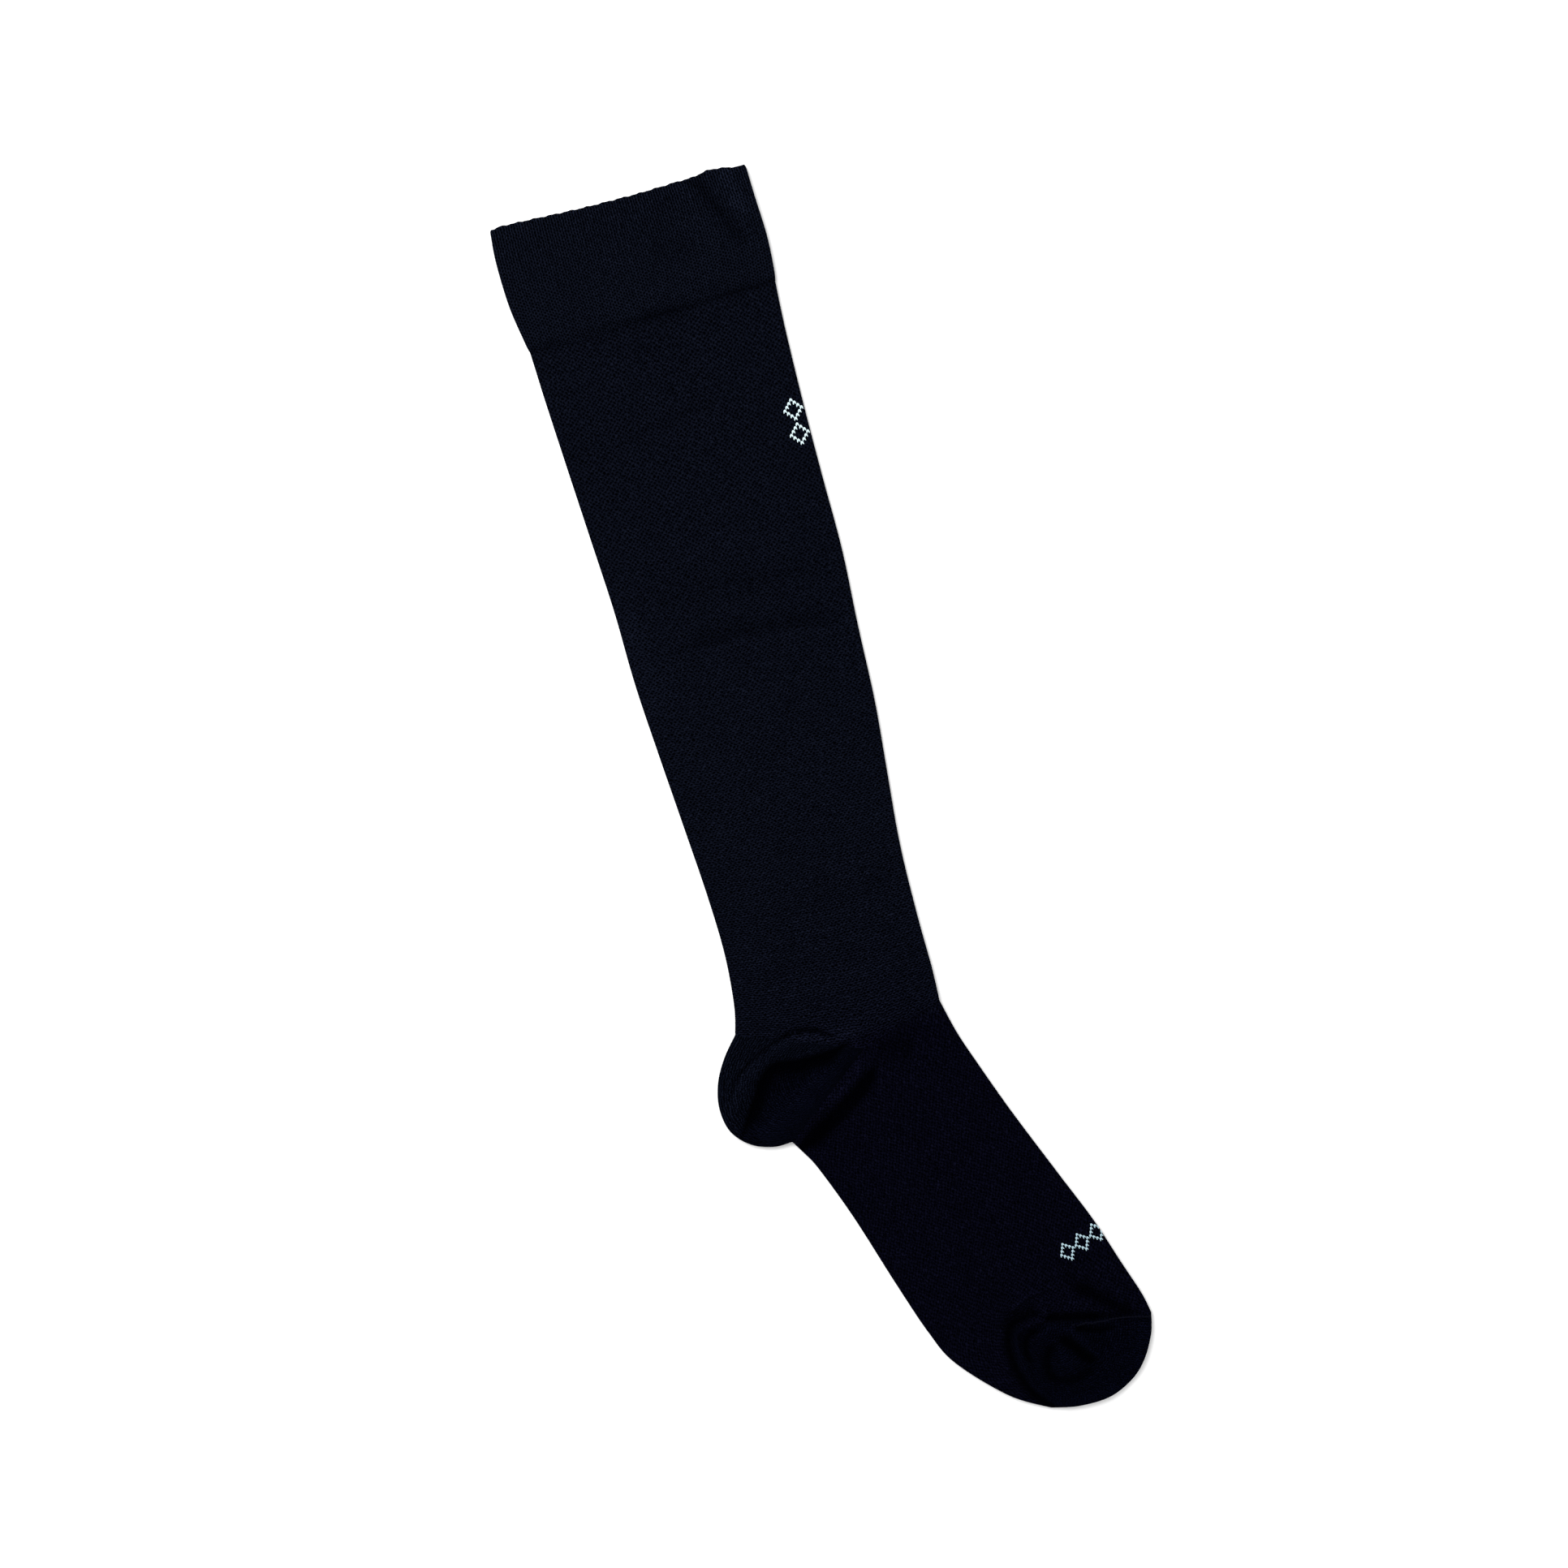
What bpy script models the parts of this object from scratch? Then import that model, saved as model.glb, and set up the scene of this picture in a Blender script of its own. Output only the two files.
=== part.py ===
"""Knee-high compression stocking, laid flat on its side with the heel to the back.

Every piece is a wall of knitted cloth round a nearly closed hollow: a turned welt, the
leg, the heel pocket, the foot and the toe cap. Sizes are in millimetres in this file and
in metres in the scene. +Y runs up the leg, -X is the back of the leg and +Z is up.
"""

import math
from collections import namedtuple

import bmesh
import bpy
from mathutils import Vector

MM = 0.001

# Driving sizes.
WALL = 1.0
WELT_WALL = 1.9
LEAST_HOLLOW = 0.4
SEAM_GAP = 0.3
RING_STEP = 6.5
WEDGE_STEP = 3.6
TOE_WEDGE_STEP = 4.8

# Columns from the back fold and the front fold to the side line. The welt has two for each
# rib of its top layer, one on the rib and one between it and the next.
TUBE_COLUMNS = (7, 6)
POCKET_COLUMNS = 15
RIBS = (58, 42)
RIB_HEIGHT = 0.3
# Shares of a quarter turn at which a fold's rounding has a column.
ROUNDING = (0.0, 0.5)

# The middle of the laid stocking's box, which becomes the origin.
CENTRE = Vector((-3.4, 3.13))

# The gores are the points of the side line where the heel and toe pockets start.
HEEL_GORE = (-14.6, -99.8)
TOE_GORE = (14.5, -230.5)

# One row a section, from the mouth down: where its course meets the back fold, the side
# line and the front fold, the height of the folds, the height at the side line, and how
# far the back half of the course bows out.
Section = namedtuple("Section", "back_x back_y side_x side_y front_x front_y fold crown bow")
SECTION_PLACES = 3
WELT_SECTIONS = (
    (-78.6, 276.9, -14.0, 275.1, 33.7, 276.2, 4.4, 4.8, 0),
    (-79.5, 262.0, -13.6, 261.0, 34.0, 262.0, 4.5, 5.0, 0),
    (-78.9, 243.0, -13.2, 243.0, 34.7, 244.0, 4.5, 5.0, 0),
    (-76.4, 222.4, -12.9, 223.0, 33.6, 224.4, 4.3, 4.6, 0),
)
LEG_SECTIONS = (
    (-75.4, 222.4, -12.6, 223.0, 33.1, 224.4, 3.4, 3.8, 0),
    (-74.5, 200.0, -13.0, 200.6, 31.9, 201.4, 3.0, 3.4, 0),
    (-73.0, 172.0, -12.8, 172.0, 31.2, 172.0, 2.9, 3.4, 0),
    (-71.2, 140.0, -12.2, 140.0, 31.0, 140.0, 2.9, 3.5, 0),
    (-69.4, 107.0, -11.5, 107.0, 31.0, 107.0, 2.9, 3.4, 0),
    (-68.8, 74.0, -12.3, 74.0, 29.2, 74.0, 2.9, 3.5, 0),
    (-66.7, 41.0, -12.2, 41.0, 27.8, 41.0, 2.9, 3.4, 0),
    (-64.6, 12.0, -12.6, 12.0, 25.2, 12.0, 2.9, 3.4, 0),
    (-62.4, -20.0, -13.2, -20.5, 22.4, -20.0, 3.0, 3.5, 0),
    (-61.7, -46.0, -13.4, -51.0, 21.7, -50.0, 3.2, 3.6, 0),
    (-63.4, -68.0, -14.0, -79.0, 21.9, -74.0, 3.6, 3.9, 0),
    (-66.2, -80.4, *HEEL_GORE, 21.4, -88.6, 4.0, 4.2, 0),
)
FOOT_SECTIONS = (
    (-54.6, -130.6, *HEEL_GORE, 21.4, -88.6, 3.6, 4.2, 0),
    (-51.0, -136.4, -10.6, -111.5, 25.0, -103.6, 3.2, 3.9, 0),
    (-46.6, -144.7, -5.0, -127.5, 30.0, -118.3, 3.0, 3.6, 0),
    (-37.6, -168.5, 4.5, -153.9, 38.7, -142.0, 2.9, 3.4, 0),
    (-27.8, -199.7, 13.0, -185.0, 51.0, -172.4, 2.9, 3.4, 0),
    (-19.8, -223.3, 16.5, -208.0, 60.4, -195.5, 3.0, 3.5, 0),
    (-12.1, -239.1, 15.2, -219.0, 67.0, -215.5, 3.2, 3.8, 1.0),
    (6.2, -258.2, 14.8, -225.5, 72.0, -230.5, 3.4, 4.0, 3.8),
    (22.4, -268.0, *TOE_GORE, 74.0, -239.8, 3.6, 4.4, 5.5),
)

# Outlines of the two pockets, from the end of one piece to the start of the next: a
# place on the fold, the fold's height, and how far the course that ends there bows.
Edge = namedtuple("Edge", "x y fold bow")
EDGE_PLACES = 1
HEEL_OUTLINE = (
    (-66.2, -80.4, 4.0, 0),
    (-73.4, -89.0, 4.4, 0),
    (-78.6, -98.5, 4.6, 0),
    (-80.8, -109.0, 4.8, 0),
    (-78.9, -119.4, 4.8, 0),
    (-72.0, -127.0, 4.6, 0),
    (-62.6, -130.6, 4.2, 0),
    (-54.6, -130.6, 3.6, 0),
)
TOE_OUTLINE = (
    (22.4, -268.0, 3.6, 5.5),
    (34.3, -270.4, 3.7, 4.0),
    (47.8, -270.0, 3.8, 2.5),
    (58.8, -265.2, 3.8, 1.5),
    (66.0, -258.4, 3.8, 0.8),
    (71.6, -248.6, 3.7, 0.2),
    (74.0, -239.8, 3.6, 0),
)
HEEL_PUFF = 1.3
TOE_PUFF = 1.3

# Folds that stay in the laid cloth: height above (+) or below (-) the cloth round them,
# half their width, and the points that they run through.
FOLDS = {
    "welt trough": (-0.7, 4.5, ((10.5, 277), (14.9, 265), (18.7, 255), (23.0, 245))),
    "welt lift": (0.9, 6.0, ((25.0, 278), (27.5, 262), (29.0, 248))),
    "upper calf": (-0.4, 6.0, ((-53.4, 174), (-14.2, 180.5), (10.0, 181))),
    "calf band": (-0.5, 8.0, ((-60.4, 107.6), (31.0, 101))),
    "calf crease": (-0.6, 5.0, ((-52.2, 83.6), (-30.5, 85), (5.1, 83), (29, 79.3))),
    "below crease": (0.3, 5.0, ((-40.0, 75.0), (-5.0, 74.5), (26.0, 71.0))),
    "ankle upper": (-0.4, 5.0, ((-40.7, -34.5), (20.0, -34.7))),
    "ankle lower": (-0.4, 5.0, ((-56.0, -58.0), (17.0, -60.6))),
    "heel roll": (2.2, 4.2, ((-22, -89.5), (-46.7, -88.9), (-66.7, -98.2), (-76.5, -113))),
    "heel trough": (-2.0, 3.4, ((-21, -95.8), (-50, -98.5), (-65.3, -109.1), (-71.5, -118))),
    "heel hump": (2.4, 8.5, ((-34.0, -106.0), (-58.0, -118.0))),
    "heel rim": (1.0, 4.0, ((-17.0, -101.5), (-31.7, -114.9), (-46.0, -123.8))),
    "heel undercut": (-1.6, 3.2, ((-12.1, -107.8), (-29.4, -120.3), (-47.0, -130.6))),
    "instep dip": (-0.5, 6.0, ((-8.0, -105.0), (17.0, -97.0))),
    "toe pocket edge": (-1.5, 2.8, ((12, -229), (11.2, -240), (13.2, -254), (20.5, -265.5))),
    "toe pocket roll": (0.9, 2.8, ((19.0, -236.0), (17.5, -249.3), (24.1, -262.0))),
    "toe seam hollow": (-1.5, 3.2, ((24.0, -226.0), (38.0, -231.0), (49.4, -233.0))),
    "toe seam": (0.8, 2.6, ((73.0, -240.5), (54.6, -237.9), (41.3, -236.8))),
    "instep dent": (-0.8, 4.0, ((47.0, -222.3), (54.8, -227.6), (64.0, -232.8))),
    "toe inner roll": (0.8, 3.0, ((23.7, -236.5), (34.3, -235.5), (44.1, -245.4))),
    "toe dent right": (-1.2, 3.0, ((35.2, -243.0), (43.5, -253.5), (35.0, -258.0))),
    "toe dent left": (-1.0, 3.0, ((26.5, -245.0), (25.4, -257.0))),
}


def smooth(share):
    """Ease from 0 to 1 with level ends."""
    share = min(max(share, 0.0), 1.0)
    return share * share * (3.0 - 2.0 * share)


def spline(rows, step):
    """Rows read about step apart along a smooth curve through the given ones."""
    read = []
    last = len(rows) - 1
    for index in range(last):
        quad = rows[max(index - 1, 0)], rows[index], rows[index + 1], rows[min(index + 2, last)]
        count = max(1, round(math.dist(quad[1][:2], quad[2][:2]) / step))
        read += [[pass_through(*four, part / count) for four in zip(*quad)] for part in range(count)]
    return read + [list(rows[last])]


def pass_through(before, start, end, after, share):
    """Catmull-Rom value between start and end."""
    bend = 2 * before - 5 * start + 4 * end - after
    twist = 3 * (start - end) + after - before
    return start + 0.5 * share * (end - before + share * (bend + share * twist))


def relief(place):
    """How far the folds lift or lower the top layer at a place."""
    total = 0.0
    for height, reach, path in FOLDS.values():
        gap = min(gap_to_stretch(place, Vector(a), Vector(b)) for a, b in zip(path, path[1:]))
        total += height * math.exp(-((gap / reach) ** 2))
    return total


def gap_to_stretch(place, start, end):
    """Distance from a place to a straight stretch."""
    run = end - start
    share = min(max((place - start).dot(run) / run.length_squared, 0.0), 1.0)
    return (start + share * run - place).length


def half_ring(edge, side, fold, crown, bow, columns, wall=WALL, puff=0.0, ribs=0):
    """Points from the side line over the fold and back below it, outside and inside."""
    run = side - edge
    level = fold / 2
    shares = [column / columns for column in range(columns + 1)]
    top_shares = [column / (2 * ribs) for column in range(2 * ribs + 1)] if ribs else shares

    def along(depth):
        """A place on the course, at a depth in from the fold."""
        share = depth / run.length
        return edge + share * run + 4 * bow * share * (1 - share) * run.orthogonal().normalized()

    skins = []
    for inset in (0.0, wall):
        top = []
        bottom = []
        for share in ROUNDING:
            turn = share * math.pi / 2
            place = along(level - (level - inset) * math.cos(turn))
            half = level + 0.5 * share * relief(place)
            rise = (half - inset) * math.sin(turn)
            top.append((*place, half + rise))
            bottom.append((*place, half - rise))
        for column, share in enumerate(top_shares):
            place = along(level + share * (run.length - level))
            height = fold + (crown - fold) * smooth(share) + 4 * puff * share * (1 - share)
            height = max(height + relief(place), 2 * wall + LEAST_HOLLOW)
            if ribs and inset == 0.0 and column % 2 == 0:
                height += RIB_HEIGHT
            top.append((*place, height - inset))
        for share in shares:
            bottom.append((*along(level + share * (run.length - level)), inset))
        skins.append(top[::-1] + bottom[1:])
    return skins


def tube_rings(sections, wall=WALL, ribs=(0, 0)):
    """Closed rings: from the side line round the back fold and then the front fold."""
    rings = []
    for row in spline(sections, RING_STEP):
        cut = Section(*row)
        back = Vector((cut.back_x, cut.back_y))
        side = Vector((cut.side_x, cut.side_y))
        front = Vector((cut.front_x, cut.front_y))
        heights = cut.fold, cut.crown
        behind = half_ring(back, side, *heights, cut.bow, TUBE_COLUMNS[0], wall, ribs=ribs[0])
        ahead = half_ring(front, side, *heights, 0.0, TUBE_COLUMNS[1], wall, ribs=ribs[1])
        rings.append([a + b[-2::-1] for a, b in zip(behind, ahead)])
    return rings


def pocket_rings(outline, step, gore, crown, puff, start_gap, end_gap):
    """Half rings that fan out from the gore to the outline, clear of their neighbours."""
    outline = [towards(outline[0], outline[1], start_gap, EDGE_PLACES), *outline[1:]]
    outline[-1] = towards(outline[-1], outline[-2], end_gap, EDGE_PLACES)
    to_start = (Vector(outline[0][:2]) - Vector(gore)).normalized()
    to_end = (Vector(outline[-1][:2]) - Vector(gore)).normalized()
    point = Vector(gore) + (to_end * start_gap + to_start * end_gap) / math.sin(to_start.angle(to_end))
    edges = [Edge(*row) for row in spline(outline, step)]
    rings = []
    for index, edge in enumerate(edges):
        start = Vector((edge.x, edge.y))
        lift = puff * math.sin(math.pi * index / (len(edges) - 1))
        rings.append(half_ring(start, point, edge.fold, crown, edge.bow, POCKET_COLUMNS, puff=lift))
    return rings


def towards(row, other, gap, places):
    """A row whose first places are moved by a gap towards those of another row."""
    moved = list(row)
    for i in range(0, 2 * places, 2):
        start = Vector(row[i : i + 2])
        run = Vector(other[i : i + 2]) - start
        moved[i : i + 2] = start + gap * run.normalized()
    return moved


def yarn(name, colour, roughness):
    """A plain dark yarn."""
    material = bpy.data.materials.new(name)
    material.use_nodes = True
    shader = material.node_tree.nodes["Principled BSDF"]
    shader.inputs["Base Color"].default_value = (*colour, 1.0)
    shader.inputs["Roughness"].default_value = roughness
    shader.inputs["Metallic"].default_value = 0.0
    return material


def cloth(name, rings, material, collection):
    """A closed wall: a grid that runs down the outer rings and back up the inner ones."""
    outer = [skins[0] for skins in rings]
    inner = [skins[1] for skins in rings]
    laps = outer + inner[::-1] + outer[:1]
    rows = len(laps) - 1
    columns = len(laps[0]) - 1
    shape = bmesh.new()
    bmesh.ops.create_grid(shape, x_segments=columns, y_segments=rows, size=0.5)
    for vert in shape.verts:
        ring = laps[round((vert.co.y + 0.5) * rows)]
        x, y, z = ring[round((vert.co.x + 0.5) * columns)]
        vert.co = Vector((x - CENTRE.x, y - CENTRE.y, z)) * MM
    bmesh.ops.remove_doubles(shape, verts=shape.verts, dist=0.01 * MM)
    bmesh.ops.recalc_face_normals(shape, faces=shape.faces)
    mesh = bpy.data.meshes.new(name)
    shape.to_mesh(mesh)
    shape.free()
    mesh.materials.append(material)
    mesh.shade_smooth()
    collection.objects.link(bpy.data.objects.new(name, mesh))


for leftover in list(bpy.data.objects):
    bpy.data.objects.remove(leftover)
stocking = bpy.data.collections.new("compression_stocking")
bpy.context.scene.collection.children.link(stocking)

leg_yarn = yarn("leg yarn", (0.0032, 0.0041, 0.0082), 0.9)
foot_yarn = yarn("foot yarn", (0.0018, 0.0019, 0.0052), 0.9)

# The welt, a turned double band with fine ribs. Its courses run straight across.
cloth("welt", tube_rings(WELT_SECTIONS, WELT_WALL, RIBS), leg_yarn, stocking)

# The leg, from under the welt to the heel's gore and the bend of the instep.
leg_top = towards(LEG_SECTIONS[0], LEG_SECTIONS[1], SEAM_GAP, SECTION_PLACES)
leg_rows = [leg_top, *LEG_SECTIONS[1:]]
cloth("leg", tube_rings(leg_rows), leg_yarn, stocking)

# The heel pocket, a wedge of short courses between the leg and the foot.
heel_crown = Section(*FOOT_SECTIONS[0]).crown
heel = pocket_rings(HEEL_OUTLINE, WEDGE_STEP, HEEL_GORE, heel_crown, HEEL_PUFF, SEAM_GAP, 0.0)
cloth("heel_pocket", heel, foot_yarn, stocking)

# The foot, from the heel and the instep to the toe's gore and its linking seam.
foot_start = towards(FOOT_SECTIONS[0], FOOT_SECTIONS[1], SEAM_GAP, SECTION_PLACES)
foot_rows = [foot_start, *FOOT_SECTIONS[1:]]
cloth("foot", tube_rings(foot_rows), foot_yarn, stocking)

# The toe cap, a second pocket, which is linked to the instep and closes the end.
toe_crown = Section(*FOOT_SECTIONS[-1]).crown
toe = pocket_rings(TOE_OUTLINE, TOE_WEDGE_STEP, TOE_GORE, toe_crown, TOE_PUFF, SEAM_GAP, SEAM_GAP)
cloth("toe_cap", toe, foot_yarn, stocking)
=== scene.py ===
"""A knee-high compression stocking, laid flat on its side: its finished knit, in one frame
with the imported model. The tables and the rings are in millimetres. What Blender is handed
is in metres, and so are the values whose names end in _M."""

import math

import bpy
import numpy as np
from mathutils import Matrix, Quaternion, Vector, noise


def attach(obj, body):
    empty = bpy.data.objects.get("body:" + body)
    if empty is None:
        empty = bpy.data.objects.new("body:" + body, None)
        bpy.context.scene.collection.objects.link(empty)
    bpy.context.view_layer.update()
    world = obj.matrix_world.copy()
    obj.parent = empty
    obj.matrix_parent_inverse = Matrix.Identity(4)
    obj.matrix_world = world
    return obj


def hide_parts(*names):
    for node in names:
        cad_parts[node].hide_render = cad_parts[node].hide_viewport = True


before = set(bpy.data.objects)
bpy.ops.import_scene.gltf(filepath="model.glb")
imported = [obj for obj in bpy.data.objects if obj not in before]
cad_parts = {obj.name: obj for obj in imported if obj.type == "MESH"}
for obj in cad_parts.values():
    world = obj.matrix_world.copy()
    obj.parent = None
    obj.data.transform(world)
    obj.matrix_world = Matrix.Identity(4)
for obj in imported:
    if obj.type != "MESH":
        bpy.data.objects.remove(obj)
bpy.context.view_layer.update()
bpy.ops.object.select_all(action="DESELECT")


# ---- The welt ---------------------------------------------------------------------------
# The double band at the mouth. It is knitted twice as deep as it stands, turned in at the
# mouth and caught down inside, and its fine ribs run straight down.

# Where each course meets the back fold, the side line and the front fold, then the height
# of the folds and of the side line, and how far the back half of the course bows.
WELT_COURSES = (
    (-78.6, 276.9, -14.0, 275.1, 33.7, 276.2, 4.4, 4.8, 0),
    (-79.5, 262.0, -13.6, 261.0, 34.0, 262.0, 4.5, 5.0, 0),
    (-78.9, 243.0, -13.2, 243.0, 34.7, 244.0, 4.5, 5.0, 0),
    (-76.6, 227.4, -12.9, 228.0, 33.9, 229.2, 4.3, 4.7, 0),
    (-75.6, 222.4, -12.9, 223.0, 33.2, 224.4, 4.1, 4.5, 0),
)
WELT_WALL = 1.9
RIB_HEIGHT = 0.3
EDGE_ROUND = 0.9
# Each crease or swell: its height, how far it reaches to the left and right of its path,
# and the path.
WELT_FOLDS = (
    (-1.15, 3.0, 4.6, ((8.5, 284), (12.6, 272), (16.6, 262), (22.0, 250), (27.0, 238))),
    (-0.4, 1.8, 2.4, ((11.0, 277), (14.6, 267), (18.5, 257))),
    (1.5, 4.0, 5.0, ((22.5, 288), (25.5, 268), (29.0, 250))),
    (0.6, 4.0, 4.0, ((2.0, 278), (8.0, 262))),
    (-0.7, 6.0, 6.0, ((-18.0, 250), (-6.0, 249), (8.0, 243))),
    (-0.3, 7.0, 7.0, ((-60.0, 250), (-20.0, 238))),
    (0.3, 6.0, 6.0, ((-48.0, 232), (-5.0, 236))),
)
# A fold comes up over the first fifth of its path and runs out over the last. At its very
# ends it keeps these shares of its reach and its height.
FOLD_FIFTHS = 5.0
END_REACH = 0.35
END_HEIGHT = 0.3
# Painted shade and highlight of the folds: how much darker the deepest creases are painted
# and from what depth on, how much lighter the highest swells are painted and from what
# height on, and the most painted light that swells add up to.
CREASE_PAINTED_SHADE = 0.85
DEEP_CREASE = 2.4
SWELL_PAINTED_HIGHLIGHT = 0.7
HIGH_SWELL = 2.6
MOST_PAINTED_LIGHT = 1.45
# The slack of laid cloth: how high its swells are, how long across and along the leg, and
# the layer of noise that they are cut from.
SLACK = ((0.2, 26, 16, 3.1), (0.09, 9, 6, 7.7))
# A fold's round edge is laid in so many points, over this share of a quarter turn.
EDGE_POINTS = 6
EDGE_TURN = 0.85
LEAST_HOLLOW = 0.4
# The middle of the laid stocking's box, in the tables' millimetres.
CENTRE = np.array((-3.4, 3.13))
MM = 0.001
NEEDLES = 200
# How far apart the rings are laid, outside and inside, and the points across the back half,
# over and under, then across the front half.
WELT_STEPS = (0.9, 2.2)
WELT_COLUMNS = ((208, 30), (152, 24))
WELT_COURSE = 0.72
# The yarn of the leg gives way to that of the foot along this line. Above it some of the
# foot's is still plied in: this share at most, and less and less over this reach.
YARN_CHANGE = (
    (-100, -131), (-79, -122), (-72.8, -118.4), (-65.1, -108.3), (-60.8, -103.0),
    (-56.6, -98.0), (-51.1, -96.0), (-32.9, -97.0), (-21.6, -95.6), (-10.0, -94.8),
    (10.0, -93.5), (45.0, -90.5),
)
PLIED_SHARE = 0.5
PLIED_REACH = 30.0
SAME_POINT_M = 2e-6
SHARP_ANGLE = math.radians(60)


def smooth(share):
    """Ease from 0 to 1 with level ends."""
    share = np.clip(share, 0.0, 1.0)
    return share * share * (3.0 - 2.0 * share)


def hump(values, middle, reach):
    """1 at the middle, and less and less to both sides of it."""
    return np.exp(-(((values - middle) / reach) ** 2))


def spline(rows, step):
    """Rows read about step apart along a smooth curve through the given ones."""
    rows = np.array(rows, float)
    read = []
    for index in range(len(rows) - 1):
        start, end = rows[index], rows[index + 1]
        before, after = rows[max(index - 1, 0)], rows[min(index + 2, len(rows) - 1)]
        bend = 2 * before - 5 * start + 4 * end - after
        twist = 3 * (start - end) + after - before
        count = max(1, round(math.dist(start[:2], end[:2]) / step))
        for share in np.arange(count) / count:
            read.append(start + 0.5 * share * (end - before + share * (bend + share * twist)))
    return np.array(read + [rows[-1]])


def off_path(places, path):
    """How far each place lies from a path, on which side of it, 1 left and -1 right, and
    what share of the way along it."""
    gap, side = np.full(len(places), np.inf), np.ones(len(places))
    way, gone = np.zeros(len(places)), 0.0
    for start, end in zip(np.array(path, float), np.array(path[1:], float)):
        run = end - start
        away = places - start
        share = np.clip(away @ run / (run @ run), 0.0, 1.0)
        here = np.linalg.norm(away - share[:, None] * run, axis=1)
        turn = np.where(run[0] * away[:, 1] - run[1] * away[:, 0] < 0, -1.0, 1.0)
        side = np.where(here < gap, turn, side)
        way = np.where(here < gap, gone + share * np.linalg.norm(run), way)
        gap = np.minimum(gap, here)
        gone += np.linalg.norm(run)
    return gap, side, way / gone


def folded(places, folds):
    """The height that the folds add at each place, and the painted light they leave there: a
    crease is painted dark as shade and a swell a little lighter as a painted highlight. A
    fold runs out towards both its ends."""
    total, light = np.zeros(len(places)), np.ones(len(places))
    for height, left, right, path in folds:
        gap, side, way = off_path(places, path)
        full = smooth(FOLD_FIFTHS * np.minimum(way, 1.0 - way))
        reach = np.where(side > 0, left, right) * (END_REACH + (1.0 - END_REACH) * full)
        rise = height * (END_HEIGHT + (1.0 - END_HEIGHT) * full) * hump(gap, 0.0, reach)
        total += rise
        # Creases are painted dark as shade, and swells painted lighter as a highlight.
        dark = 1.0 - CREASE_PAINTED_SHADE * smooth(-rise / DEEP_CREASE)
        light *= dark * (1.0 + SWELL_PAINTED_HIGHLIGHT * smooth(rise / HIGH_SWELL))
    return total, np.minimum(light, MOST_PAINTED_LIGHT)


def uneven(places):
    """The slack of laid cloth: broad swells and small ones across them."""
    total = np.zeros(len(places))
    for height, across, along, layer in SLACK:
        swells = [noise.noise(Vector((x / across, y / along, layer))) for x, y in places]
        total += height * np.array(swells)
    return total


def half_ring(edge, side, heights, columns, folds, wall, inset):
    """One course from the side line over the fold and back below it: its points, the
    knit's depth from the fold at each, below the fold less than nothing, and the painted
    shade and highlight that the folds leave on it."""
    fold, crown, bow, puff = heights
    run = side - edge
    length = np.linalg.norm(run)
    across = np.array((-run[1], run[0])) / length
    level = fold / 2
    ease = np.linspace(0.0, EDGE_TURN, EDGE_POINTS)
    turns = ease * math.pi / 2
    shares = np.linspace(0.0, 1.0, columns[0] + 1)
    under_shares = np.linspace(0.0, 1.0, columns[1] + 1)

    def along(depth):
        share = (depth / length)[:, None]
        return edge + share * run + 4 * bow * share * (1 - share) * across

    rim = along(level - (level - inset) * np.cos(turns))
    place = along(level + shares * (length - level))
    under = along(level + under_shares * (length - level))
    lift, light = folded(place, folds)
    half = level + 0.5 * ease * (folded(rim, folds)[0] + uneven(rim))
    rise = (half - inset) * np.sin(turns)
    height = fold + (crown - fold) * smooth(shares) + 4 * puff * shares * (1 - shares)
    height = np.maximum(height + lift + uneven(place), 2 * wall + LEAST_HOLLOW) - inset
    top = np.vstack([np.c_[rim, half + rise], np.c_[place, height]])
    bottom = np.vstack([np.c_[rim, half - rise], np.c_[under, np.full(len(under), inset)]])
    flat = level * math.pi / 2
    upper = np.concatenate([level * turns, flat + shares * (length - level)])
    lower = np.concatenate([level * turns, flat + under_shares * (length - level)])
    depth = np.concatenate([upper[::-1], -lower[1:]])
    shade = np.concatenate([light[::-1], np.full(len(depth) - len(light), light[0])])
    return np.vstack([top[::-1], bottom[1:]]), depth, shade


def tube(courses, step, columns, folds, wall, inset=0.0):
    """Rings of a tube, from the side line round the back fold, below, and round the front
    fold, with the wale at each point and the painted shade and highlight of the folds."""
    rings, wales, shades = [], [], []
    for row in spline(courses, step):
        back, side, front, (fold, crown, bow) = row[:2], row[2:4], row[4:6], row[6:]
        first = half_ring(back, side, (fold, crown, bow, 0), columns[0], folds, wall, inset)
        last = half_ring(front, side, (fold, crown, 0, 0), columns[1], folds, wall, inset)
        pitch = 2 * (first[1][0] + last[1][0]) / NEEDLES
        rings.append(np.vstack([first[0], last[0][-2::-1]]))
        down = first[1][0] - first[1]
        wales.append(np.concatenate([down, down[-1] + last[1][0] + last[1][-2::-1]]) / pitch)
        shades.append(np.concatenate([first[2], last[2][-2::-1]]))
    return np.array(rings), np.array(wales), np.array(shades)


def course_count(rings, pitch, level=0.0):
    """How many courses lie above each point. The ring at level, a share of the way down,
    is one course, and away from it they turn half as much as the rings do."""
    ways = np.linalg.norm(np.diff(rings[:, :, :2], axis=0), axis=2)
    ways = 0.5 * (ways + ways.mean(axis=1, keepdims=True))
    gone = np.vstack([np.zeros(ways.shape[1]), np.cumsum(ways, axis=0)])
    middle = gone[round(level * len(ways))]
    return (gone - middle + middle.mean()) / pitch


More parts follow.
